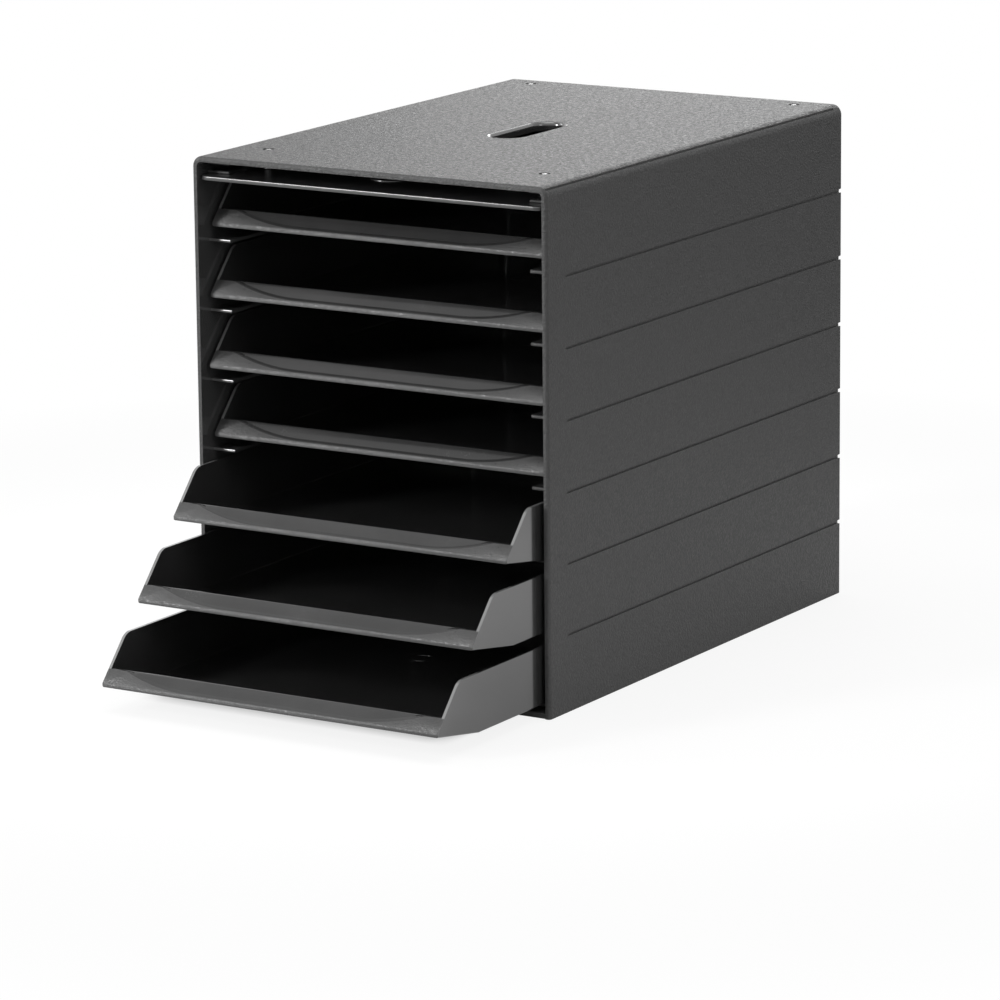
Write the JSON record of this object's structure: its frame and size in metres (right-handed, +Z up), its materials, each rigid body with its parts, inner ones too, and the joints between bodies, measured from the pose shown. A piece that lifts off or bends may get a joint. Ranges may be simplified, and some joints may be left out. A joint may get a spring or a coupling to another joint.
{
  "type": "letter tray stack with drawers",
  "caption": "Upright open-fronted plastic case with a carry slot in its top and shallow letter trays with low leaning fronts that slide out one above the other.",
  "frame": {"origin": "middle of the case's underside, on the surface it stands on, without the trays that stick out in front", "axes": "+Z up, -Y the open front through which the trays slide out, +X to the right seen from the front"},
  "size_m": [0.25, 0.4798, 0.32],
  "materials": {
    "case_plastic": "fine grained moulded plastic, charcoal grey",
    "tray_plastic": "smooth moulded plastic, charcoal grey",
    "screw_steel": "bright plated steel"
  },
  "bodies": {
    "case": {"top_cover": "case_plastic", "hand_shelf": "case_plastic", "right_side_panel": "case_plastic", "left_side_panel": "case_plastic", "bottom_panel": "case_plastic", "rear_panel": "case_plastic", "cover_screws": "screw_steel", "base_screws": "screw_steel"},
    "tray_1": {"tray_1": "tray_plastic"},
    "tray_2": {"tray_2": "tray_plastic"},
    "tray_3": {"tray_3": "tray_plastic"},
    "tray_4": {"tray_4": "tray_plastic"},
    "tray_5": {"tray_5": "tray_plastic"},
    "tray_6": {"tray_6": "tray_plastic"},
    "tray_7": {"tray_7": "tray_plastic"}
  },
  "joints": [
    {"name": "tray_1_slide", "type": "slide", "parent": "case", "child": "tray_1", "axis": [0, -1, 0], "range_m": [0, 0.21]},
    {"name": "tray_2_slide", "type": "slide", "parent": "case", "child": "tray_2", "axis": [0, -1, 0], "range_m": [-0.0034, 0.2066]},
    {"name": "tray_3_slide", "type": "slide", "parent": "case", "child": "tray_3", "axis": [0, -1, 0], "range_m": [-0.006, 0.204]},
    {"name": "tray_4_slide", "type": "slide", "parent": "case", "child": "tray_4", "axis": [0, -1, 0], "range_m": [-0.002, 0.208]},
    {"name": "tray_5_slide", "type": "slide", "parent": "case", "child": "tray_5", "axis": [0, -1, 0], "range_m": [-0.0481, 0.1619]},
    {"name": "tray_6_slide", "type": "slide", "parent": "case", "child": "tray_6", "axis": [0, -1, 0], "range_m": [-0.0871, 0.1229]},
    {"name": "tray_7_slide", "type": "slide", "parent": "case", "child": "tray_7", "axis": [0, -1, 0], "range_m": [-0.126, 0.084]}
  ]
}
